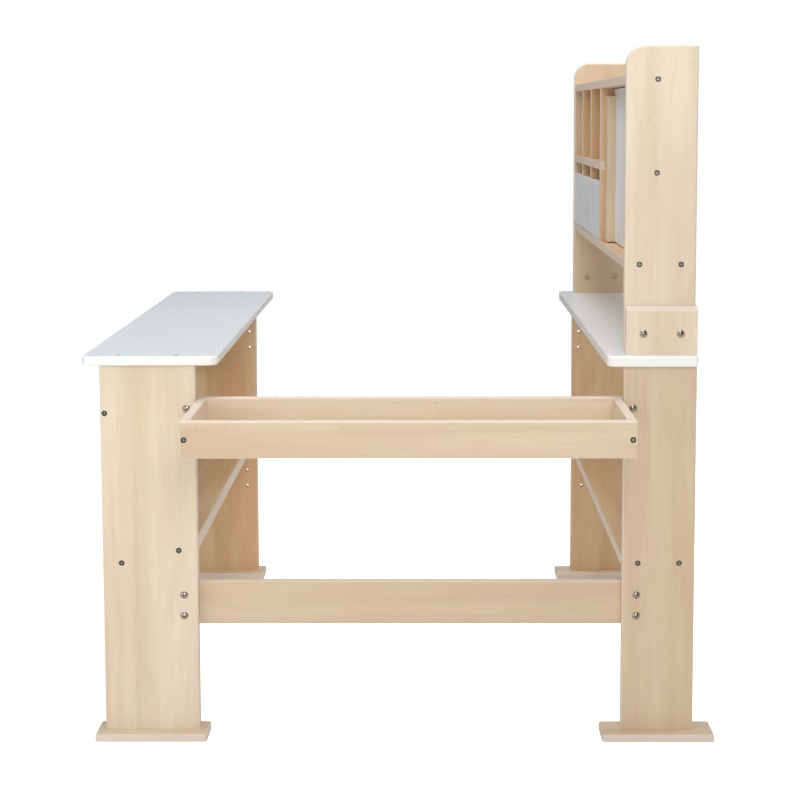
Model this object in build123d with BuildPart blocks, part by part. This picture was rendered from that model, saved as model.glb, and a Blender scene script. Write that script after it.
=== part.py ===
from build123d import *
import os
from math import cos, hypot, radians, sin, tan

# Play workbench in birch plywood: two long counters, joined at their near end by an
# open tray and a low stretcher, with a hutch of pigeonholes, drawers and a cupboard
# standing on the right-hand counter.
# X runs from the left counter to the right one, Y along the counters away from the
# tray, Z up. The origin is on the floor, under the middle of the whole unit.

# Overall sizes (mm)
unit_length = 900            # over the outer faces of the near and far legs
leg_gap = 680                # clear width between the left and the right legs
left_leg_width = 153
right_leg_width = 116
counter_height = 623
board = 15                   # structural plywood
soft_edge = 3                # rounding on the edges that hands meet
fine_edge = 1                # rounding on thin boards
tight_fit = 0.05             # radial play of a screw, pin or sleeve in its hole

# Feet
foot_length = 180
foot_width = 60
foot_height = 12
foot_corner = 5

# Counter tops
left_top_thickness = 15
right_top_thickness = 18
top_end_lip = 10             # beyond the legs at each end
left_top_outer_lip = 27
left_top_inner_lip = 36
right_top_front_lip = 27
top_corner = 15
top_rear_corner = 5

# Boards under the counters
fascia_height = 156
shelf_thickness = 18
shelf_mid_height = 297       # middle of the sloping shelf, on the middle of the left legs
shelf_slope = 12.6           # degrees, low on the outer side
shelf_lip_thickness = 12
shelf_lip_height = 32
right_shelf_mid_height = 286.5

# Stretcher and tray
stretcher_low = 182
stretcher_height = 71
stretcher_lap = 45           # how far it runs behind each leg
tray_reach = 180             # how far the tray stands out in front of the near legs
tray_drop = 70.5             # of the tray's rim below the counters
tray_height = 56
tray_lap = 34
tray_side_play = 0.8         # between each tray end and the leg beside it
tray_panel = 6
tray_panel_lift = 8
groove_depth = 5
groove_play = 0.2

# Hutch
hutch_depth = 113.5
hutch_rear_inset = 1.5
hutch_corner = 30
open_height = 135            # between the counter and the lowest shelf
drawer_bay_height = 130
pigeonhole_height = 132
hutch_rim = 45               # of the sides above the top shelf
shelf_front_inset = 1.5
back_panel = 4
back_rear_inset = 2
cupboard_width = 354
column_count = 3
divider = 9
cleat_width = 113
cleat_height = 77
cleat_bevel = 7

# Cupboard door
door_thickness = 12
door_setback = 24.5          # of its face behind the front of the hutch sides
door_swing_gap = 1           # round the corners that turn about the pins
door_latch_gap = 2
door_end_gap = 2
pull_width = 38
pull_thickness = 15
pull_top_gap = 14.5
pin_radius = 2.5
pin_in_door = 12
pin_end_play = 0.5
pin_screw_gap = 0.5          # between the end of a pin hole and the screws in the shelf
pin_edge_margin = 8          # from the hinge edge of the door to the pin

# Drawers
drawer_front = 12
drawer_hand_gap = 23         # over each drawer front
drawer_front_inset = 2
drawer_side = 9
drawer_side_drop = 22.7      # of the box sides below the top of the front
drawer_base = 4
drawer_play = 1.5            # each side
drawer_rear_play = 1
drawer_lift = 0.3            # sliding gap over the shelf
drawer_front_lift = 1

# Screws, bolts and sleeve nuts
screw_radius = 2
screw_length = 40
screw_tip_gap = 1            # of a hole beyond its screw
screw_head_radius = 4.5
screw_head_angle = 90
screw_head_sink = 0.4        # of the head below the surface
screw_recess = (5.2, 1.2, 1.6)
bolt_radius = 3
bolt_end_gap = 3             # from the end of a bolt to the inner face
bolt_head_radius = 6.3
bolt_head_height = 3.4
bolt_recess = (6.4, 1.5, 2.0)
bolt_hole_play = 0.25
sleeve_wall = 1
sleeve_end_gap = 2           # from the end of a sleeve to the joint between the boards
sleeve_flange_radius = 6.2
sleeve_flange = 1.2

# Fastener places
tray_bolt_low = 7            # from the tray's lower edge to the lower bolt
tray_bolt_high = 15          # from the tray's rim to the upper bolt
stretcher_bolt_inset = 23    # from the inner edge of a leg
tray_bolt_inset = 15
left_screw_offset = 46       # each side of the middle of a left leg
right_screw_offset = 33      # each side of the middle of a right leg
cleat_bolt_offset = 29.3
cleat_bolt_height = 34
door_screw_gap = 8.5         # from the door's swing to the screws behind it

# Lines that the pieces are set out from
left_reach = leg_gap / 2 + left_leg_width
left_reach += max(left_top_outer_lip, (foot_length - left_leg_width) / 2)
right_reach = leg_gap / 2 + right_leg_width + max(0, (foot_length - right_leg_width) / 2)
gap_middle = (left_reach - right_reach) / 2
left_inner = gap_middle - leg_gap / 2
left_outer = left_inner - left_leg_width
left_middle = (left_inner + left_outer) / 2
right_inner = gap_middle + leg_gap / 2
right_outer = right_inner + right_leg_width
right_middle = (right_inner + right_outer) / 2

end_reach = max(top_end_lip, (foot_width - board) / 2)
near_y = (tray_reach - unit_length - end_reach) / 2
far_y = near_y + unit_length
near_inside = near_y + board
far_inside = far_y - board

left_leg_top = counter_height - left_top_thickness
right_leg_top = counter_height - right_top_thickness
stretcher_middle = stretcher_low + stretcher_height / 2
tray_top = counter_height - tray_drop
tray_low = tray_top - tray_height
tray_middle = tray_low + tray_height / 2

hutch_front = right_outer - hutch_rear_inset - hutch_depth
hutch_rear = hutch_front + hutch_depth
hutch_middle = (hutch_front + hutch_rear) / 2
hutch_near = near_inside + board
hutch_far = far_inside - board
low_shelf_z = counter_height + open_height
low_shelf_top = low_shelf_z + board
mid_shelf_z = low_shelf_top + drawer_bay_height
mid_shelf_top = mid_shelf_z + board
top_shelf_z = mid_shelf_top + pigeonhole_height
top_shelf_top = top_shelf_z + board
hutch_top = top_shelf_top + hutch_rim
back_rear = hutch_rear - back_rear_inset
back_front = back_rear - back_panel
shelf_front = hutch_front + shelf_front_inset
wall_near = hutch_near + cupboard_width
wall_far = wall_near + board
column_width = (hutch_far - wall_far - (column_count - 1) * divider) / column_count
column_step = column_width + divider
cleat_front = right_outer - cleat_width
cleat_middle = (cleat_front + right_outer) / 2

door_face = hutch_front + door_setback
door_back = door_face + door_thickness
pin_x = (door_face + door_back) / 2
door_swing = hypot(pin_edge_margin, door_thickness / 2) + door_swing_gap
door_clear = pin_x + door_swing
pin_y = hutch_near + door_swing
pin_hole_in_shelf = board / 2 - screw_radius - pin_screw_gap
pin_in_shelf = pin_hole_in_shelf - pin_end_play

# Fastener sizes that follow the boards
two_boards = 2 * board
bolt_hole_radius = bolt_radius + bolt_hole_play
bolt_spacing = tray_height - tray_bolt_low - tray_bolt_high
sleeve_radius = bolt_radius + sleeve_wall
sleeve_length = board - sleeve_end_gap
screw_hole_depth = screw_length + screw_tip_gap
screw_head_slope = tan(radians(screw_head_angle / 2))
screw_sink_radius = screw_head_radius + screw_head_sink * screw_head_slope + 2 * tight_fit

pieces = []


def keep(piece, label):
    piece.part.label = label
    pieces.append(piece.part)


def slab(x_low, x_high, y_low, y_high, z_low, z_high, mode=Mode.ADD):
    middle = ((x_low + x_high) / 2, (y_low + y_high) / 2, (z_low + z_high) / 2)
    with Locations(middle):
        Box(x_high - x_low, y_high - y_low, z_high - z_low, mode=mode)


def ease(radius, *axes):
    for axis in axes:
        fillet(edges().filter_by(axis), radius)


# A fastener seat is a plane on the surface, with its Z pointing out at the head.
def seat_near(x, z, y=near_y):
    return Plane((x, y, z), x_dir=(1, 0, 0), z_dir=(0, -1, 0))


def seat_far(x, z, y=far_y):
    return Plane((x, y, z), x_dir=(1, 0, 0), z_dir=(0, 1, 0))


def seat_up(x, y, z):
    return Plane((x, y, z), x_dir=(1, 0, 0), z_dir=(0, 0, 1))


def seat_down(x, y, z):
    return Plane((x, y, z), x_dir=(1, 0, 0), z_dir=(0, 0, -1))


def screw_holes(seats):
    with Locations(*seats):
        CounterSinkHole(
            screw_radius + tight_fit,
            screw_sink_radius,
            depth=screw_hole_depth,
            counter_sink_angle=screw_head_angle,
        )


def bolt_holes(seats):
    with Locations(*seats):
        Hole(bolt_hole_radius, depth=two_boards)


def sleeve_holes(seats):
    for seat in seats:
        with Locations(seat.offset(-two_boards).rotated((180, 0, 0))):
            Hole(sleeve_radius + tight_fit, depth=sleeve_length)


# Seats of every fastener, so that a screw and its holes share one place
def end_seats(x, z):
    return [seat_near(x, z), seat_far(x, z)]


slope_rise = left_screw_offset * tan(radians(shelf_slope))
sloping_shelf_seats = end_seats(left_middle - left_screw_offset, shelf_mid_height - slope_rise)
sloping_shelf_seats += end_seats(left_middle + left_screw_offset, shelf_mid_height + slope_rise)
fascia_z = left_leg_top - fascia_height / 2
fascia_seats = end_seats(left_outer + board / 2, fascia_z)
level_shelf_seats = end_seats(right_middle - right_screw_offset, right_shelf_mid_height)
level_shelf_seats += end_seats(right_middle + right_screw_offset, right_shelf_mid_height)

leg_y_middles = {"near": near_y + board / 2, "far": far_y - board / 2}
left_top_seats = []
right_top_seats = []
foot_seats = []
for leg_y in leg_y_middles.values():
    for side in (-1, 1):
        left_x = left_middle + side * left_screw_offset
        right_x = right_middle + side * right_screw_offset
        left_top_seats.append(seat_up(left_x, leg_y, counter_height))
        right_top_seats.append(seat_up(right_x, leg_y, counter_height))
        foot_seats += [seat_down(left_x, leg_y, 0), seat_down(right_x, leg_y, 0)]

half_spacing = bolt_spacing / 2
left_bolt_x = {"stretcher": left_inner - stretcher_bolt_inset, "tray": left_inner - tray_bolt_inset}
right_bolt_x = {
    "stretcher": right_inner + stretcher_bolt_inset,
    "tray": right_inner + tray_bolt_inset,
}
bolt_z = {"stretcher": stretcher_middle, "tray": tray_low + tray_bolt_low + half_spacing}
left_bolt_seats = {}
right_bolt_seats = {}
for name, z in bolt_z.items():
    heights = (z - half_spacing, z + half_spacing)
    left_bolt_seats[name] = [seat_near(left_bolt_x[name], height) for height in heights]
    right_bolt_seats[name] = [seat_near(right_bolt_x[name], height) for height in heights]

cleat_bolt_z = counter_height + cleat_bolt_height
cleat_seats = {"near": [], "far": []}
for side in (-1, 1):
    bolt_x = cleat_middle + side * cleat_bolt_offset
    cleat_seats["near"].append(seat_near(bolt_x, cleat_bolt_z))
    cleat_seats["far"].append(seat_far(bolt_x, cleat_bolt_z))

# Screws through the hutch sides into its shelves: one in each upper shelf, two in the low one
single_x = door_clear + door_screw_gap
hutch_screw_places = [(single_x, top_shelf_z + board / 2), (single_x, mid_shelf_z + board / 2)]
for side in (-1, 1):
    hutch_screw_places.append((hutch_middle + side * right_screw_offset, low_shelf_z + board / 2))
hutch_seats = {
    "near": [seat_near(x, z, near_inside) for x, z in hutch_screw_places],
    "far": [seat_far(x, z, far_inside) for x, z in hutch_screw_places],
}
# Screws up through the counter into the hutch sides
hutch_y_middles = {"near": near_inside + board / 2, "far": far_inside - board / 2}
hutch_foot_seats = {}
for end, y in hutch_y_middles.items():
    xs = (hutch_middle - right_screw_offset, hutch_middle + right_screw_offset)
    hutch_foot_seats[end] = [seat_down(x, y, right_leg_top) for x in xs]
all_hutch_foot_seats = hutch_foot_seats["near"] + hutch_foot_seats["far"]

tray_left = left_inner + tray_side_play
tray_right = right_inner - tray_side_play
tray_front = near_y - tray_reach
tray_screw_seats = []
for x in (tray_left + board / 2, tray_right - board / 2):
    tray_screw_seats.append(seat_near(x, tray_middle, tray_front))
    tray_screw_seats.append(seat_far(x, tray_middle, near_inside + board))


# Feet: a flat shoe under each leg
feet = {
    "near_left": (left_middle, leg_y_middles["near"]),
    "near_right": (right_middle, leg_y_middles["near"]),
    "far_left": (left_middle, leg_y_middles["far"]),
    "far_right": (right_middle, leg_y_middles["far"]),
}
for place, (x, y) in feet.items():
    with BuildPart() as foot:
        with BuildSketch(Plane((x, y, 0))):
            RectangleRounded(foot_length, foot_width, foot_corner)
        extrude(amount=foot_height)
        fillet(foot.edges().group_by(Axis.Z)[-1], soft_edge)
        screw_holes(foot_seats)
    keep(foot, f"foot_{place}")

# Legs: upright boards. The near and far ones are the same board, so the far ones carry
# the bolt holes too, open for a second tray or stretcher.
leg_sizes = {
    "left": (left_outer, left_inner, left_leg_top),
    "right": (right_inner, right_outer, right_leg_top),
}
leg_screws = {
    "left": sloping_shelf_seats + fascia_seats + left_top_seats,
    "right": level_shelf_seats + right_top_seats,
}
leg_bolts = {"left": left_bolt_seats, "right": right_bolt_seats}
for end, leg_y in leg_y_middles.items():
    for side, (x_low, x_high, z_high) in leg_sizes.items():
        with BuildPart() as leg:
            slab(x_low, x_high, leg_y - board / 2, leg_y + board / 2, foot_height, z_high)
            ease(soft_edge, Axis.Z)
            screw_holes(leg_screws[side] + foot_seats)
            for seats in leg_bolts[side].values():
                with Locations(*[seat.offset(near_y - leg_y + board / 2) for seat in seats]):
                    Hole(bolt_hole_radius, depth=board)
        keep(leg, f"leg_{end}_{side}")

# Counter tops
left_top_x = (left_outer - left_top_outer_lip, left_inner + left_top_inner_lip)
top_length = unit_length + 2 * top_end_lip
top_y_middle = (near_y + far_y) / 2
left_top_x_middle = (left_top_x[0] + left_top_x[1]) / 2
with BuildPart() as left_top:
    with BuildSketch(Plane((left_top_x_middle, top_y_middle, left_leg_top))):
        RectangleRounded(left_top_x[1] - left_top_x[0], top_length, top_corner)
    extrude(amount=left_top_thickness)
    fillet(left_top.edges().group_by(Axis.Z)[-1], soft_edge)
    fillet(left_top.edges().group_by(Axis.Z)[0], soft_edge)
    screw_holes(left_top_seats)
keep(left_top, "left_counter_top")

right_top_x = (right_inner - right_top_front_lip, right_outer)
right_top_x_middle = (right_top_x[0] + right_top_x[1]) / 2
with BuildPart() as right_top:
    with BuildSketch(Plane((right_top_x_middle, top_y_middle, right_leg_top))) as outline:
        Rectangle(right_top_x[1] - right_top_x[0], top_length)
        fillet(outline.vertices().group_by(Axis.X)[0], top_corner)
        fillet(outline.vertices().group_by(Axis.X)[-1], top_rear_corner)
    extrude(amount=right_top_thickness)
    fillet(right_top.edges().group_by(Axis.Z)[-1], soft_edge)
    fillet(right_top.edges().group_by(Axis.Z)[0], soft_edge)
    screw_holes(right_top_seats + all_hutch_foot_seats)
keep(right_top, "right_counter_top")

# Fascia under the outer side of the left counter
with BuildPart() as fascia:
    slab(left_outer, left_outer + board, near_inside, far_inside,
         left_leg_top - fascia_height, left_leg_top)
    fillet(fascia.edges().filter_by(Axis.Y).group_by(Axis.Z)[0], soft_edge)
    screw_holes(fascia_seats)
keep(fascia, "left_fascia")

# Sloping display shelf with its lip. Its own plane is tilted, low on the outer side.
slope = radians(shelf_slope)
slope_width = left_leg_width / cos(slope) - shelf_thickness * tan(slope)
slope_plane = Plane(
    (left_middle, near_inside, shelf_mid_height),
    x_dir=(cos(slope), 0, sin(slope)),
    z_dir=(0, -1, 0),
)
with BuildPart() as sloping_shelf:
    with BuildSketch(slope_plane):
        Rectangle(slope_width, shelf_thickness)
    extrude(amount=-(unit_length - 2 * board))
    fillet(sloping_shelf.edges().filter_by(Axis.Y), soft_edge)
    screw_holes(sloping_shelf_seats)
keep(sloping_shelf, "left_sloping_shelf")

# The rim of the lip lies level with the outer edges of the legs
lip_top = shelf_thickness / 2 + shelf_lip_height
lip_outer = (lip_top * sin(slope) - left_leg_width / 2) / cos(slope)
with BuildPart() as shelf_lip:
    with BuildSketch(slope_plane):
        with Locations((lip_outer + shelf_lip_thickness / 2, lip_top - shelf_lip_height / 2)):
            Rectangle(shelf_lip_thickness, shelf_lip_height)
    extrude(amount=-(unit_length - 2 * board))
    fillet(shelf_lip.edges().filter_by(Axis.Y).group_by(Axis.Z)[-1], soft_edge)
keep(shelf_lip, "left_shelf_lip")

# Level shelf under the right counter
with BuildPart() as level_shelf:
    slab(right_inner, right_outer, near_inside, far_inside,
         right_shelf_mid_height - shelf_thickness / 2, right_shelf_mid_height + shelf_thickness / 2)
    ease(soft_edge, Axis.Y)
    screw_holes(level_shelf_seats)
keep(level_shelf, "right_level_shelf")

# Stretcher behind the near legs
with BuildPart() as stretcher:
    slab(left_inner - stretcher_lap, right_inner + stretcher_lap, near_inside, near_inside + board,
         stretcher_low, stretcher_low + stretcher_height)
    ease(soft_edge, Axis.X)
    stretcher_seats = left_bolt_seats["stretcher"] + right_bolt_seats["stretcher"]
    bolt_holes(stretcher_seats)
    sleeve_holes(stretcher_seats)
keep(stretcher, "stretcher")

# Tray: its back board is bolted behind the legs, its ends run out between them
tray_floor = tray_low + tray_panel_lift
tray_panel_box = (
    tray_left + board - groove_depth, tray_right - board + groove_depth,
    tray_front + board - groove_depth, near_inside + groove_depth,
    tray_floor, tray_floor + tray_panel,
)


def tray_groove():
    x_low, x_high, y_low, y_high, z_low, z_high = tray_panel_box
    slab(x_low - groove_play, x_high + groove_play, y_low - groove_play, y_high + groove_play,
         z_low - groove_play, z_high + groove_play, mode=Mode.SUBTRACT)


with BuildPart() as tray_back:
    slab(left_inner - tray_lap, right_inner + tray_lap, near_inside, near_inside + board,
         tray_low, tray_top)
    ease(soft_edge, Axis.X)
    tray_bolt_seats = left_bolt_seats["tray"] + right_bolt_seats["tray"]
    bolt_holes(tray_bolt_seats)
    sleeve_holes(tray_bolt_seats)
    screw_holes(tray_screw_seats)
    tray_groove()
keep(tray_back, "tray_back")

with BuildPart() as tray_face:
    slab(tray_left, tray_right, tray_front, tray_front + board, tray_low, tray_top)
    fillet(tray_face.edges(), soft_edge)
    screw_holes(tray_screw_seats)
    tray_groove()
keep(tray_face, "tray_front")

for side, (x_low, x_high) in {
    "left": (tray_left, tray_left + board),
    "right": (tray_right - board, tray_right),
}.items():
    with BuildPart() as tray_end:
        slab(x_low, x_high, tray_front + board, near_inside, tray_low, tray_top)
        ease(soft_edge, Axis.Y)
        screw_holes(tray_screw_seats)
        tray_groove()
    keep(tray_end, f"tray_end_{side}")

with BuildPart() as tray_bottom:
    slab(*tray_panel_box)
keep(tray_bottom, "tray_bottom")

# Hutch sides: boards with a rounded front corner, standing on the counter
hutch_sides = {"near": (near_inside, hutch_near), "far": (hutch_far, far_inside)}
for end, (y_low, y_high) in hutch_sides.items():
    with BuildPart() as hutch_side:
        with BuildSketch(Plane.XZ.offset(-y_low)) as outline:
            with Locations((hutch_middle, (counter_height + hutch_top) / 2)):
                Rectangle(hutch_depth, hutch_top - counter_height)
            front_corner = outline.vertices().group_by(Axis.Y)[-1].sort_by(Axis.X)[0]
            fillet(front_corner, hutch_corner)
        extrude(amount=-board)
        rims = hutch_side.edges().filter_by(lambda edge: edge.center().Z > low_shelf_z)
        fillet(rims.group_by(Axis.Y)[0] + rims.group_by(Axis.Y)[-1], soft_edge)
        screw_holes(hutch_seats[end] + hutch_foot_seats[end])
        bolt_holes(cleat_seats[end])
        sleeve_holes(cleat_seats[end])
    keep(hutch_side, f"hutch_side_{end}")

# Cleats: bevelled blocks over the legs, bolted to the hutch sides
for end, leg_y in leg_y_middles.items():
    with BuildPart() as cleat:
        slab(cleat_front, right_outer, leg_y - board / 2, leg_y + board / 2,
             counter_height, counter_height + cleat_height)
        long_edges = cleat.edges().filter_by(Axis.X).group_by(Axis.Z)[-1].sort_by(Axis.Y)
        chamfer(long_edges[0 if end == "near" else -1], cleat_bevel)
        outer_uprights = cleat.edges().filter_by(Axis.Z).sort_by(Axis.Y)
        fillet(outer_uprights[:2] if end == "near" else outer_uprights[-2:], fine_edge)
        bolt_holes(cleat_seats[end])
    keep(cleat, f"hutch_cleat_{end}")

# Hutch shelves. Behind the door the middle one is cut back.
hutch_screw_seats = hutch_seats["near"] + hutch_seats["far"]
shelf_lows = {"top": top_shelf_z, "middle": mid_shelf_z, "low": low_shelf_z}
for level, z_low in shelf_lows.items():
    with BuildPart() as hutch_shelf:
        slab(shelf_front, back_front, hutch_near, hutch_far, z_low, z_low + board)
        ease(fine_edge, Axis.Y)
        if level == "middle":
            slab(shelf_front, door_clear, hutch_near, wall_near, z_low, z_low + board,
                 mode=Mode.SUBTRACT)
        screw_holes(hutch_screw_seats)
        if level == "top":
            with Locations(seat_down(pin_x, pin_y, top_shelf_z)):
                Hole(pin_radius + tight_fit, depth=pin_hole_in_shelf)
        if level == "low":
            with Locations(seat_up(pin_x, pin_y, low_shelf_top)):
                Hole(pin_radius + tight_fit, depth=pin_hole_in_shelf)
    keep(hutch_shelf, f"hutch_{level}_shelf")

with BuildPart() as hutch_back:
    slab(back_front, back_rear, hutch_near, hutch_far, low_shelf_z, top_shelf_top)
keep(hutch_back, "hutch_back")

# Upright boards between the shelves: the cupboard wall and the column dividers
bays = {"drawer": (low_shelf_top, mid_shelf_z), "pigeonhole": (mid_shelf_top, top_shelf_z)}
uprights = {"wall": (wall_near, wall_far)}
for number in range(1, column_count):
    start = wall_far + number * column_step - divider
    uprights[f"divider_{number}"] = (start, start + divider)
for bay, (z_low, z_high) in bays.items():
    for kind, (y_low, y_high) in uprights.items():
        with BuildPart() as upright:
            slab(shelf_front, back_front, y_low, y_high, z_low, z_high)
            fillet(upright.edges().filter_by(Axis.Z).group_by(Axis.X)[0], fine_edge)
        keep(upright, f"{bay}_{kind}")

# Cupboard door on two pivot pins, with a wooden pull along its free edge
door_low = low_shelf_top + door_end_gap
door_high = top_shelf_z - door_end_gap
door_near = pin_y - pin_edge_margin
door_far = wall_near - door_latch_gap
with BuildPart() as door:
    slab(door_face, door_back, door_near, door_far, door_low, door_high)
    ease(fine_edge, Axis.Z)
    with Locations(seat_up(pin_x, pin_y, door_high), seat_down(pin_x, pin_y, door_low)):
        Hole(pin_radius + tight_fit, depth=pin_in_door + pin_end_play - door_end_gap)
keep(door, "cupboard_door")

with BuildPart() as pull:
    slab(door_face - pull_thickness, door_face, door_far - pull_width, door_far,
         door_low, top_shelf_z - pull_top_gap)
    fillet(pull.edges().group_by(Axis.X)[0], fine_edge)
keep(pull, "cupboard_pull")

with BuildPart() as pins:
    pin_length = pin_in_shelf + pin_in_door
    for start in (low_shelf_top - pin_in_shelf, top_shelf_z + pin_in_shelf - pin_length):
        with Locations((pin_x, pin_y, start)):
            Cylinder(pin_radius, pin_length, align=(Align.CENTER, Align.CENTER, Align.MIN))
keep(pins, "door_pins")

# Drawers: an open box on a thin base, behind a plain front that leaves a hand gap over it
drawer_face = hutch_front + drawer_front_inset
drawer_box_front = drawer_face + drawer_front
drawer_rear = back_front - drawer_rear_play
drawer_floor = low_shelf_top + drawer_lift
drawer_box_floor = drawer_floor + drawer_base
drawer_front_low = low_shelf_top + drawer_front_lift
drawer_front_top = mid_shelf_z - drawer_hand_gap
drawer_side_top = drawer_front_top - drawer_side_drop
for number in range(1, column_count + 1):
    y_low = wall_far + (number - 1) * column_step + drawer_play
    y_high = y_low + column_width - 2 * drawer_play
    with BuildPart() as front:
        slab(drawer_face, drawer_box_front, y_low, y_high, drawer_front_low, drawer_front_top)
        fillet(front.edges().group_by(Axis.X)[0], fine_edge)
    keep(front, f"drawer_{number}_front")
    for side, y_start in {"near": y_low, "far": y_high - drawer_side}.items():
        with BuildPart() as drawer_wall:
            slab(drawer_box_front, drawer_rear, y_start, y_start + drawer_side,
                 drawer_box_floor, drawer_side_top)
            fillet(drawer_wall.edges().filter_by(Axis.X).group_by(Axis.Z)[-1], fine_edge)
        keep(drawer_wall, f"drawer_{number}_side_{side}")
    with BuildPart() as drawer_back:
        slab(drawer_rear - drawer_side, drawer_rear, y_low + drawer_side, y_high - drawer_side,
             drawer_box_floor, drawer_side_top)
        fillet(drawer_back.edges().filter_by(Axis.Y).group_by(Axis.Z)[-1], fine_edge)
    keep(drawer_back, f"drawer_{number}_back")
    with BuildPart() as drawer_bottom:
        slab(drawer_box_front, drawer_rear, y_low, y_high, drawer_floor, drawer_box_floor)
    keep(drawer_bottom, f"drawer_{number}_bottom")

# Countersunk screw, head up, its top just under the surface at Z = 0
head_depth = (screw_head_radius - screw_radius) / screw_head_slope
with BuildPart() as screw:
    with BuildSketch(Plane.XZ):
        with BuildLine():
            Polyline(
                (0, -screw_head_sink),
                (screw_head_radius, -screw_head_sink),
                (screw_radius, -screw_head_sink - head_depth),
                (screw_radius, -screw_length + 2 * screw_radius),
                (0, -screw_length),
                close=True,
            )
        make_face()
    revolve(axis=Axis.Z)
    with BuildSketch(Plane.XY.offset(-screw_head_sink)):
        Rectangle(screw_recess[0], screw_recess[1])
        Rectangle(screw_recess[1], screw_recess[0])
    extrude(amount=-screw_recess[2], mode=Mode.SUBTRACT)

# Domed bolt, its head standing on the surface at Z = 0
bolt_reach = two_boards - bolt_end_gap
with BuildPart() as bolt:
    dome_radius = (bolt_head_radius ** 2 + bolt_head_height ** 2) / (2 * bolt_head_height)
    with BuildSketch(Plane.XZ):
        with BuildLine():
            RadiusArc((bolt_head_radius, 0), (0, bolt_head_height), -dome_radius)
            Polyline(
                (0, bolt_head_height), (0, -bolt_reach), (bolt_radius, -bolt_reach),
                (bolt_radius, 0), (bolt_head_radius, 0),
            )
        make_face()
    revolve(axis=Axis.Z)
    with BuildSketch(Plane.XY.offset(bolt_head_height)):
        Rectangle(bolt_recess[0], bolt_recess[1])
        Rectangle(bolt_recess[1], bolt_recess[0])
    extrude(amount=-bolt_recess[2], mode=Mode.SUBTRACT)

# Sleeve nut: flange on the inner face, barrel in the board, bored for the bolt
with BuildPart() as sleeve_nut:
    Cylinder(sleeve_flange_radius, sleeve_flange, align=(Align.CENTER, Align.CENTER, Align.MIN))
    fillet(sleeve_nut.edges().group_by(Axis.Z)[-1], sleeve_flange / 2)
    with BuildSketch():
        Circle(sleeve_radius)
    extrude(amount=-sleeve_length + tight_fit)
    Hole(bolt_radius + tight_fit)

fastener_groups = {
    "counter_screws": (screw, left_top_seats + right_top_seats),
    "foot_screws": (screw, foot_seats),
    "shelf_screws": (screw, sloping_shelf_seats + level_shelf_seats + fascia_seats),
    "tray_screws": (screw, tray_screw_seats),
    "hutch_screws": (screw, hutch_screw_seats + all_hutch_foot_seats),
    "frame_bolts": (bolt, stretcher_seats + tray_bolt_seats),
    "hutch_bolts": (bolt, cleat_seats["near"] + cleat_seats["far"]),
}
for label, (fastener, seats) in fastener_groups.items():
    with BuildPart() as group:
        with Locations(*seats):
            add(fastener.part)
    keep(group, label)

sleeve_seats = stretcher_seats + tray_bolt_seats + cleat_seats["near"] + cleat_seats["far"]
with BuildPart() as sleeve_nuts:
    with Locations(*[seat.offset(-two_boards).rotated((180, 0, 0)) for seat in sleeve_seats]):
        add(sleeve_nut.part)
keep(sleeve_nuts, "sleeve_nuts")

os.makedirs("parts", exist_ok=True)
for piece in pieces:
    export_step(piece, f"parts/{piece.label}.step")
print(len(pieces), "pieces written")
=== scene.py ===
import math
import bpy
from mathutils import Matrix, Vector

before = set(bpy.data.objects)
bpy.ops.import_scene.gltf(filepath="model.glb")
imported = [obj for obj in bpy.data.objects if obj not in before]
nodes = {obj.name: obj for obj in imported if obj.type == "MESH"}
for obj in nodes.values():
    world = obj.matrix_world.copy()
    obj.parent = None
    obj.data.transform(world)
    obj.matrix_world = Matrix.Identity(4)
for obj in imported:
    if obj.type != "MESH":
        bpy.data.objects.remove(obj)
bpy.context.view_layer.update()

scene = bpy.context.scene
mm = 0.001
print("frame loaded:", len(nodes), "boards and fittings")


# sRGB hex to linear, by the standard's curve
def toLinear(hexColour):
    channels = [int(hexColour[start:start + 2], 16) / 255 for start in (1, 3, 5)]
    linear = [c / 12.92 if c <= 0.04045 else ((c + 0.055) / 1.055) ** 2.4 for c in channels]
    return linear + [1.0]


# A colour Mix node repeats its sockets' names, so they are taken by number
lowerColour = 6
upperColour = 7
mixedColour = 2


# One node: settings go to its inputs or its properties, links join its inputs to other outputs
def addNode(tree, kind, settings=None, links=None):
    node = tree.nodes.new(kind)
    for name, value in (settings or {}).items():
        if isinstance(name, int) or name in node.inputs:
            node.inputs[name].default_value = value
        else:
            setattr(node, name, value)
    for name, source in (links or {}).items():
        tree.links.new(source, node.inputs[name])
    return node


def newMaterial(name):
    material = bpy.data.materials.new(name)
    material.use_nodes = True
    material.node_tree.nodes.clear()
    return material, material.node_tree


def give(material, names):
    for name in names:
        mesh = nodes[name].data
        mesh.materials.clear()
        mesh.materials.append(material)


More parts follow.
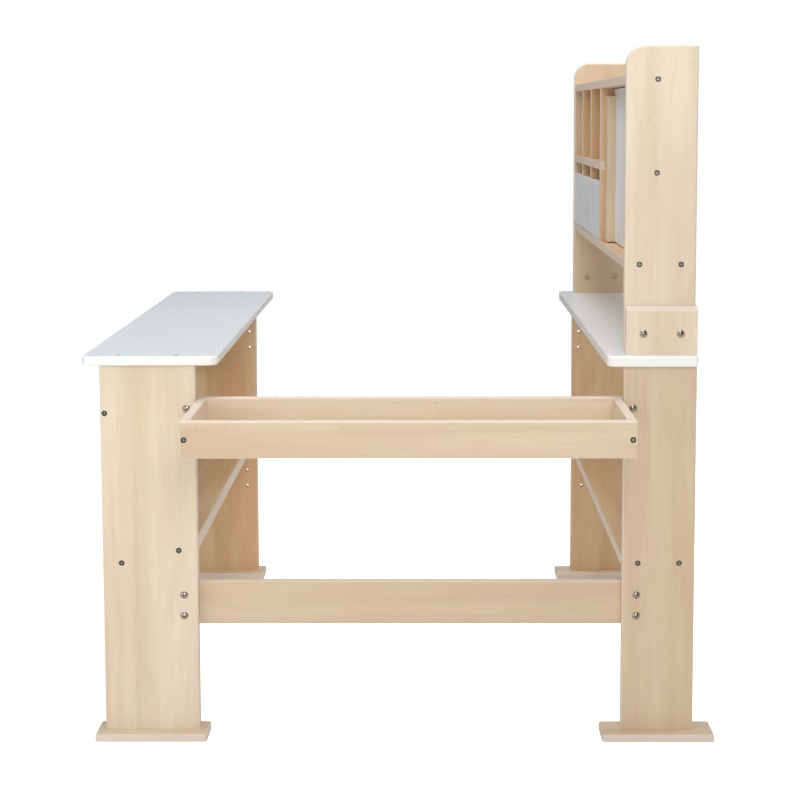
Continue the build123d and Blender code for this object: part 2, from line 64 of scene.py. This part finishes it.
# Birch plywood, peeled veneers pressed and given a clear satin lacquer. It reads as smooth pale
# cream with soft cloudy streaks, honey or rose, and its cut edges show the plies as faint lines.
# A layer comes in where its noise lies between start and full; across and along are in mm.
birch = {
    # pale is the veneer's own tone. warm and amber are darker, browner copies of it: painted shade
    # for boards that sit in shade, the far legs, the shelves and the hutch's inner boards and
    # back. beige, a little darker than pale, is the pull's own tone and a board's random tone, and
    # on the far hutch side it is painted shade.
    "tones": {
        "pale": {"ground": "#DFD0B9", "honey": "#D4C1A3", "rose": "#DAC4AE", "streak": "#C0A078",
                 "fleck": "#A58660", "edge": "#DDCFC0", "ply": "#C4B09A"},
        "warm": {"ground": "#DCBE93", "honey": "#CFA675", "rose": "#D5A880", "streak": "#B27E4C",
                 "fleck": "#916742", "edge": "#D8CBBB", "ply": "#BFAA93"},
        "amber": {"ground": "#D0AD82", "honey": "#C49B6D", "rose": "#C89C76", "streak": "#A97A4E",
                  "fleck": "#86603C", "edge": "#D8CBBB", "ply": "#BFAA93"},
        "beige": {"ground": "#D3BFA0", "honey": "#C7AF8E", "rose": "#CDB197", "streak": "#AE926C",
                  "fleck": "#917656", "edge": "#DDCFC0", "ply": "#C4B09A"},
    },
    "layers": {
        "clouds": {"colour": "honey", "most": 0.9, "start": 0.36, "full": 0.68,
                   "across": 55, "along": 520, "detail": 2.0, "swirl": 0.3},
        "blushes": {"colour": "rose", "most": 0.8, "start": 0.46, "full": 0.7,
                    "across": 42, "along": 420, "detail": 1.0, "swirl": 0.6},
        "figure": {"colour": "streak", "most": 0.11, "start": 0.5, "full": 0.72,
                   "across": 24, "along": 170, "detail": 2.0, "swirl": 1.4},
        "streaks": {"colour": "streak", "most": 0.24, "start": 0.52, "full": 0.82,
                    "across": 12, "along": 480, "detail": 3.0, "swirl": 0.0},
        # real fibres are a quarter as wide, this is the finest that shows
        "fibres": {"colour": "fleck", "most": 0.12, "start": 0.5, "full": 0.85,
                   "across": 2.2, "along": 60, "detail": 2.0, "swirl": 0.0},
        "flecks": {"colour": "fleck", "most": 0.25, "start": 0.8, "full": 0.88,
                   "across": 4, "along": 12, "detail": 0.0, "swirl": 0.0},
    },
    "plyPair": 2.9,         # mm, one light and one dark ply together
    "plyWobble": 0.4,
    "plyDetail": 1.0,
    "plyStart": 0.35,       # a dark ply comes in between these two heights of the wave
    "plyFull": 0.9,
    "plyMost": 0.4,
    "edgeEnds": 0.86,       # how squarely a face looks along the thickness where the edge ends
    "veneerStarts": 0.93,   # and where the veneer is whole
    "satin": 0.4,           # roughness of a lacquered face
    "sawn": 0.62,           # and of a cut edge
    "unevenness": 0.12,     # what the streaks add to a face's roughness, at most
    "ior": 1.5,
    "coat": 0.2,
    "coatRoughness": 0.35,
    "relief": 0.06,         # mm
    "reliefStrength": 0.25,
    "boardSpread": 7.3,     # each board is cut from its own place in this many metres of pattern
    "spreadAlong": (1.0, 0.73, 0.51),
}


def makePlywood(name, tone, grain, face, solid=False):
    material, tree = newMaterial(name)
    tints = birch["tones"][tone]
    place = addNode(tree, "ShaderNodeTexCoord")
    board = addNode(tree, "ShaderNodeObjectInfo")
    step = addNode(tree, "ShaderNodeMath", {"operation": "MULTIPLY", 1: birch["boardSpread"]},
                   {0: board.outputs["Random"]})
    shift = addNode(tree, "ShaderNodeVectorMath", {"operation": "SCALE", 0: birch["spreadAlong"]},
                    {"Scale": step.outputs[0]})
    spot = addNode(tree, "ShaderNodeVectorMath", {"operation": "ADD"},
                   {0: place.outputs["Object"], 1: shift.outputs[0]})

    under = {}  # the first layer lies on the ground colour, each later one on the layer before
    noises = {}
    for layerName, layer in birch["layers"].items():
        spans = [1 / (mm * layer["along" if axis == grain else "across"]) for axis in "XYZ"]
        drawn = addNode(tree, "ShaderNodeVectorMath", {"operation": "MULTIPLY", 1: spans},
                        {0: spot.outputs[0]})
        noise = addNode(tree, "ShaderNodeTexNoise",
                        {"Scale": 1.0, "Detail": layer["detail"], "Distortion": layer["swirl"]},
                        {"Vector": drawn.outputs[0]})
        amount = addNode(tree, "ShaderNodeMapRange",
                         {"interpolation_type": "SMOOTHSTEP", "From Min": layer["start"],
                          "From Max": layer["full"], "To Max": layer["most"]},
                         {"Value": noise.outputs[0]})
        laid = addNode(tree, "ShaderNodeMix",
                       {"data_type": "RGBA", lowerColour: toLinear(tints["ground"]),
                        upperColour: toLinear(tints[layer["colour"]])},
                       {0: amount.outputs[0], **under})
        under = {lowerColour: laid.outputs[mixedColour]}
        noises[layerName] = noise.outputs[0]

    relief = addNode(tree, "ShaderNodeBump",
                     {"Strength": birch["reliefStrength"], "Distance": birch["relief"] * mm},
                     {"Height": noises["fibres"]})
    rough = addNode(tree, "ShaderNodeMath",
                    {"operation": "MULTIPLY_ADD", 1: birch["unevenness"], 2: birch["satin"]},
                    {0: noises["streaks"]})
    colour = laid.outputs[mixedColour]
    if not solid:  # the cut edges are the faces that don't look along the board's thickness
        # at scale 1 a wave node draws 10 / pi bands a metre
        bandScale = math.pi / (10 * birch["plyPair"] * mm)
        plies = addNode(tree, "ShaderNodeTexWave",
                        {"wave_type": "BANDS", "bands_direction": face, "Scale": bandScale,
                         "Distortion": birch["plyWobble"], "Detail": birch["plyDetail"]},
                        {"Vector": place.outputs["Object"]})
        dark = addNode(tree, "ShaderNodeMapRange",
                       {"interpolation_type": "SMOOTHSTEP", "From Min": birch["plyStart"],
                        "From Max": birch["plyFull"], "To Max": birch["plyMost"]},
                       {"Value": plies.outputs["Fac"]})
        edge = addNode(tree, "ShaderNodeMix",
                       {"data_type": "RGBA", lowerColour: toLinear(tints["edge"]),
                        upperColour: toLinear(tints["ply"])}, {0: dark.outputs[0]})
        normal = addNode(tree, "ShaderNodeSeparateXYZ", None, {0: place.outputs["Normal"]})
        facing = addNode(tree, "ShaderNodeMath", {"operation": "ABSOLUTE"},
                         {0: normal.outputs[face]})
        veneer = addNode(tree, "ShaderNodeMapRange",
                         {"interpolation_type": "SMOOTHSTEP", "From Min": birch["edgeEnds"],
                          "From Max": birch["veneerStarts"]}, {"Value": facing.outputs[0]})
        whole = addNode(tree, "ShaderNodeMix", {"data_type": "RGBA"},
                        {0: veneer.outputs[0], lowerColour: edge.outputs[mixedColour],
                         upperColour: colour})
        colour = whole.outputs[mixedColour]
        rough = addNode(tree, "ShaderNodeMapRange", {"To Min": birch["sawn"]},
                        {"Value": veneer.outputs[0], "To Max": rough.outputs[0]})
    shader = addNode(tree, "ShaderNodeBsdfPrincipled",
                     {"IOR": birch["ior"], "Coat Weight": birch["coat"],
                      "Coat Roughness": birch["coatRoughness"]},
                     {"Base Color": colour, "Roughness": rough.outputs[0],
                      "Normal": relief.outputs[0]})
    addNode(tree, "ShaderNodeOutputMaterial", None, {"Surface": shader.outputs[0]})
    return material


# Each board by its tone (the veneer's own, or a darker copy as painted shade), the axis of its
# grain and the axis of its thickness
boards = {
    ("pale", "Z", "Y"): ["leg_near_left", "hutch_side_near", "hutch_cleat_near",
                         "hutch_cleat_far"],
    # beige: a random board tone on the near right leg, painted shade on the far hutch side
    ("beige", "Z", "Y"): ["leg_near_right", "hutch_side_far"],
    # painted shade: the far legs take a darker copy of the veneer
    ("warm", "Z", "Y"): ["leg_far_left", "leg_far_right"],
    # painted shade: the hutch's inner walls, dividers, back and the right shelf take the darkest
    # copy
    ("amber", "Z", "Y"): ["drawer_wall", "drawer_divider_1", "drawer_divider_2",
                          "pigeonhole_wall", "pigeonhole_divider_1", "pigeonhole_divider_2"],
    ("pale", "Y", "X"): ["left_fascia", "left_shelf_lip", "tray_end_left", "tray_end_right",
                         "drawer_1_back", "drawer_2_back", "drawer_3_back"],
    ("amber", "Y", "X"): ["hutch_back"],
    # painted shade: the shelves take the darker warm copy
    ("warm", "Y", "Z"): ["left_sloping_shelf", "hutch_top_shelf", "hutch_middle_shelf",
                         "hutch_low_shelf"],
    ("amber", "Y", "Z"): ["right_level_shelf"],
    ("pale", "X", "Y"): ["tray_back"]
    + [f"drawer_{number}_side_{end}" for number in (1, 2, 3) for end in ("near", "far")],
    ("beige", "X", "Y"): ["stretcher", "tray_front"],
    ("pale", "X", "Z"): ["foot_near_left", "foot_near_right", "foot_far_left",
                         "foot_far_right", "tray_bottom",
                         "drawer_1_bottom", "drawer_2_bottom", "drawer_3_bottom"],
}
for (tone, grain, face), names in boards.items():
    give(makePlywood(f"lacqueredBirchPlywood_{tone}_grain{grain}_face{face}", tone, grain, face),
         names)
# The pull is solid birch, planed and lacquered: the same even grain on every side, and no plies
give(makePlywood("planedBirchStrip", "beige", "Z", "X", solid=True), ["cupboard_pull"])
print("birch boards done")


# Melamine faced sheet, pressed smooth: cool white with a soft gloss, and a warmer band glued
# round its edge that leaves a faint seam
melamine = {
    "sheet": "#E4E9ED",
    "shade": "#DDE3E8",
    "band": "#EEEEEA",
    "seam": "#B9BCBC",
    "seamAmount": 0.35,
    "bandEnds": 0.8,       # how squarely a face looks along the thickness where the band ends
    "sheetStarts": 0.9,    # and where the sheet is whole
    "seamAt": 0.86,        # the seam lies about the middle of that stretch
    "seamReach": 0.07,     # and goes this far to each side of it
    "ior": 1.5,
    "roughness": 0.25,
    "unevenness": 0.08,    # what the grit adds to the roughness, at most
    "cloud": 220,          # mm
    "grit": 3.0,           # mm, the press plate's texture, several times coarser than it really is
    "detail": 1.0,
    "relief": 0.004,       # mm
    "reliefStrength": 0.1,
    "sheets": {"Z": ["left_counter_top", "right_counter_top"],
               "X": ["cupboard_door", "drawer_1_front", "drawer_2_front", "drawer_3_front"]},
}
for face, names in melamine["sheets"].items():
    material, tree = newMaterial(f"whiteMelamine_face{face}")
    place = addNode(tree, "ShaderNodeTexCoord")
    clouds = addNode(tree, "ShaderNodeTexNoise",
                     {"Scale": 1 / (melamine["cloud"] * mm), "Detail": melamine["detail"]},
                     {"Vector": place.outputs["Object"]})
    grit = addNode(tree, "ShaderNodeTexNoise",
                   {"Scale": 1 / (melamine["grit"] * mm), "Detail": melamine["detail"]},
                   {"Vector": place.outputs["Object"]})
    sheet = addNode(tree, "ShaderNodeMix",
                    {"data_type": "RGBA", lowerColour: toLinear(melamine["sheet"]),
                     upperColour: toLinear(melamine["shade"])}, {0: clouds.outputs[0]})
    normal = addNode(tree, "ShaderNodeSeparateXYZ", None, {0: place.outputs["Normal"]})
    facing = addNode(tree, "ShaderNodeMath", {"operation": "ABSOLUTE"}, {0: normal.outputs[face]})
    flat = addNode(tree, "ShaderNodeMapRange",
                   {"interpolation_type": "SMOOTHSTEP", "From Min": melamine["bandEnds"],
                    "From Max": melamine["sheetStarts"]}, {"Value": facing.outputs[0]})
    banded = addNode(tree, "ShaderNodeMix",
                     {"data_type": "RGBA", lowerColour: toLinear(melamine["band"])},
                     {0: flat.outputs[0], upperColour: sheet.outputs[mixedColour]})
    seam = addNode(tree, "ShaderNodeMath",
                   {"operation": "COMPARE", 1: melamine["seamAt"], 2: melamine["seamReach"]},
                   {0: facing.outputs[0]})
    faint = addNode(tree, "ShaderNodeMath",
                    {"operation": "MULTIPLY", 1: melamine["seamAmount"]}, {0: seam.outputs[0]})
    colour = addNode(tree, "ShaderNodeMix",
                     {"data_type": "RGBA", upperColour: toLinear(melamine["seam"])},
                     {0: faint.outputs[0], lowerColour: banded.outputs[mixedColour]})
    rough = addNode(tree, "ShaderNodeMath",
                    {"operation": "MULTIPLY_ADD", 1: melamine["unevenness"],
                     2: melamine["roughness"]}, {0: grit.outputs[0]})
    relief = addNode(tree, "ShaderNodeBump",
                     {"Strength": melamine["reliefStrength"],
                      "Distance": melamine["relief"] * mm}, {"Height": grit.outputs[0]})
    shader = addNode(tree, "ShaderNodeBsdfPrincipled", {"IOR": melamine["ior"]},
                     {"Base Color": colour.outputs[mixedColour], "Roughness": rough.outputs[0],
                      "Normal": relief.outputs[0]})
    addNode(tree, "ShaderNodeOutputMaterial", None, {"Surface": shader.outputs[0]})
    give(material, names)
print("white sheets done")


# Fittings. Zinc plated screws, darker than zinc plating is, in part painted shade for the dark
# ring round each countersunk head, with a painted highlight in the driven recess; domed nickel
# plated bolts, bright, with painted shade in the recess; pale brass sleeve nuts and plain steel
# pins, whose recesses are darkened too as painted shade. Wear is the size of the plating's dull
# spots in mm, several times coarser than the real ones so that they show.
metals = {
    "zincPlatedScrews": {
        "light": "#565956", "dark": "#2C2E2C", "paintedRecessTone": "#BDBFBA", "roughness": 0.34,
        "wear": 0.9, "nodes": ["counter_screws", "foot_screws", "shelf_screws", "tray_screws",
                               "hutch_screws"]},
    "nickelPlatedBolts": {
        "light": "#C9C2B8", "dark": "#8B8379", "paintedRecessTone": "#3B352F", "roughness": 0.16,
        "wear": 1.4, "nodes": ["frame_bolts", "hutch_bolts"]},
    "brassSleeveNuts": {
        "light": "#CDBB98", "dark": "#9C8760", "paintedRecessTone": "#6B5B40", "roughness": 0.26,
        "wear": 1.2, "nodes": ["sleeve_nuts"]},
    "steelPivotPins": {
        "light": "#A9ABAC", "dark": "#85888A", "paintedRecessTone": "#6E7071", "roughness": 0.3,
        "wear": 1.0, "nodes": ["door_pins"]},
}
plating = {
    "unevenness": 0.15,    # what the wear adds to the roughness, at most
    "wearDetail": 2.0,
    "relief": 0.02,        # mm
    "reliefStrength": 0.1,
    "recessReach": 1.4,    # mm, how far apart the walls of a recess may be
    "recessStarts": 0.95,  # share of open sky over a point where the painted recess colour comes in
    "recessWhole": 0.6,    # and where it is whole
    "samples": 8,
}
for name, metal in metals.items():
    material, tree = newMaterial(name)
    place = addNode(tree, "ShaderNodeTexCoord")
    wear = addNode(tree, "ShaderNodeTexNoise",
                   {"Scale": 1 / (metal["wear"] * mm), "Detail": plating["wearDetail"]},
                   {"Vector": place.outputs["Object"]})
    mottled = addNode(tree, "ShaderNodeMix",
                      {"data_type": "RGBA", lowerColour: toLinear(metal["light"]),
                       upperColour: toLinear(metal["dark"])}, {0: wear.outputs[0]})
    # Painted light: the less open sky a point has, the more it takes the recess colour, a painted
    # highlight on the screws and painted shade on the bolts, nuts and pins
    hollow = addNode(tree, "ShaderNodeAmbientOcclusion",
                     {"only_local": True, "samples": plating["samples"],
                      "Distance": plating["recessReach"] * mm})
    paintedRecessShare = addNode(tree, "ShaderNodeMapRange",
                   {"From Min": plating["recessStarts"], "From Max": plating["recessWhole"]},
                   {"Value": hollow.outputs["AO"]})
    colour = addNode(tree, "ShaderNodeMix",
                     {"data_type": "RGBA", upperColour: toLinear(metal["paintedRecessTone"])},
                     {0: paintedRecessShare.outputs[0], lowerColour: mottled.outputs[mixedColour]})
    rough = addNode(tree, "ShaderNodeMath",
                    {"operation": "MULTIPLY_ADD", 1: plating["unevenness"],
                     2: metal["roughness"]}, {0: wear.outputs[0]})
    relief = addNode(tree, "ShaderNodeBump",
                     {"Strength": plating["reliefStrength"],
                      "Distance": plating["relief"] * mm}, {"Height": wear.outputs[0]})
    shader = addNode(tree, "ShaderNodeBsdfPrincipled", {"Metallic": 1.0},
                     {"Base Color": colour.outputs[mixedColour], "Roughness": rough.outputs[0],
                      "Normal": relief.outputs[0]})
    addNode(tree, "ShaderNodeOutputMaterial", None, {"Surface": shader.outputs[0]})
    give(material, metal["nodes"])
print("fittings done")


# Floor, a plain pale sheet. Its glow only whitens it for the camera and lights nothing.
floorSheet = {
    "half": 20.0,          # metres
    "colour": "#F4F3F1",
    "mottle": "#EFEEEC",
    "mottleSize": 0.5,     # metres
    "glow": 0.82,
}
half = floorSheet["half"]
mesh = bpy.data.meshes.new("studioFloor")
mesh.from_pydata([(-half, -half, 0), (half, -half, 0), (half, half, 0), (-half, half, 0)],
                 [], [(0, 1, 2, 3)])
floor = bpy.data.objects.new("studioFloor", mesh)
scene.collection.objects.link(floor)
material, tree = newMaterial("paleFloorSheet")
place = addNode(tree, "ShaderNodeTexCoord")
mottle = addNode(tree, "ShaderNodeTexNoise", {"Scale": 1 / floorSheet["mottleSize"]},
                 {"Vector": place.outputs["Object"]})
colour = addNode(tree, "ShaderNodeMix",
                 {"data_type": "RGBA", lowerColour: toLinear(floorSheet["colour"]),
                  upperColour: toLinear(floorSheet["mottle"])}, {0: mottle.outputs[0]})
matt = addNode(tree, "ShaderNodeBsdfDiffuse", None, {"Color": colour.outputs[mixedColour]})
glow = addNode(tree, "ShaderNodeEmission", {"Strength": floorSheet["glow"]})
bright = addNode(tree, "ShaderNodeAddShader", None, {0: matt.outputs[0], 1: glow.outputs[0]})
ray = addNode(tree, "ShaderNodeLightPath")
seen = addNode(tree, "ShaderNodeMixShader", None,
               {0: ray.outputs["Is Camera Ray"], 1: matt.outputs[0], 2: bright.outputs[0]})
addNode(tree, "ShaderNodeOutputMaterial", None, {"Surface": seen.outputs[0]})
mesh.materials.append(material)

# Soft boxes, in metres and watts: the widest hangs over the object, three are in front and to the
# left, and two light its back and its right side without glaring in the white tops
softBoxes = {
    "topBox": {"place": (-0.1, -0.2, 2.5), "aim": (0.0, 0.0, 0.4), "size": 2.0, "power": 37},
    "keyBox": {"place": (0.3, -2.3, 1.7), "aim": (0.1, -0.3, 0.9), "size": 1.2, "power": 19},
    "lowBox": {"place": (0.1, -2.8, 0.5), "aim": (0.2, 0.1, 0.6), "size": 1.2, "power": 12},
    "sideBox": {"place": (-1.4, -1.2, 0.8), "aim": (0.3, 0.4, 0.6), "size": 1.0, "power": 7},
    "backBox": {"place": (0.6, 2.4, 1.3), "aim": (0.1, 0.4, 0.6), "size": 1.6, "power": 13,
                "mirrored": False},
    "rightBox": {"place": (2.4, 0.2, 1.2), "aim": (0.5, 0.0, 0.6), "size": 1.6, "power": 13,
                 "mirrored": False},
}
for name, box in softBoxes.items():
    lamp = bpy.data.lights.new(name, "AREA")
    lamp.size = box["size"]
    lamp.energy = box["power"]
    light = bpy.data.objects.new(name, lamp)
    scene.collection.objects.link(light)
    light.location = box["place"]
    light.visible_camera = False
    light.visible_glossy = box.get("mirrored", True)
    aim = Vector(box["aim"]) - light.location
    light.rotation_euler = aim.to_track_quat("-Z", "Y").to_euler()

# An even white room: full white behind everything, and a weaker light from all round
room = {"white": "#FFFFFF", "seen": 1.0, "daylight": "#FCFDFF", "light": 0.24}
world = bpy.data.worlds.new("whiteRoom")
world.use_nodes = True
scene.world = world
tree = world.node_tree
tree.nodes.clear()
ray = addNode(tree, "ShaderNodeLightPath")
seen = addNode(tree, "ShaderNodeBackground",
               {"Color": toLinear(room["white"]), "Strength": room["seen"]})
lit = addNode(tree, "ShaderNodeBackground",
              {"Color": toLinear(room["daylight"]), "Strength": room["light"]})
both = addNode(tree, "ShaderNodeMixShader", None,
               {0: ray.outputs["Is Camera Ray"], 1: lit.outputs[0], 2: seen.outputs[0]})
addNode(tree, "ShaderNodeOutputWorld", None, {"Surface": both.outputs[0]})
scene.view_settings.view_transform = "Standard"
print("floor, lights and room done")

# Camera, at the near end, looking a little down along the counters
view = {
    "place": (0.0433, -2.8189, 1.0014),  # metres
    "pitch": 4.999,                      # degrees down from level
    "yaw": -0.386,
    "roll": -0.109,
    "lens": 70.22,                       # mm
    "sensor": 36,
    "shift": (-0.02, -0.185),            # shares of the picture's width
}
lens = bpy.data.cameras.new("viewCamera")
lens.sensor_width = view["sensor"]
lens.lens = view["lens"]
lens.shift_x, lens.shift_y = view["shift"]
camera = bpy.data.objects.new("viewCamera", lens)
scene.collection.objects.link(camera)
turn = Matrix.Rotation(-math.radians(view["yaw"]), 4, "Z")
tilt = Matrix.Rotation(math.radians(90 - view["pitch"]), 4, "X")
roll = Matrix.Rotation(math.radians(view["roll"]), 4, "Z")
camera.matrix_world = Matrix.Translation(view["place"]) @ turn @ tilt @ roll
scene.camera = camera
print("camera done")
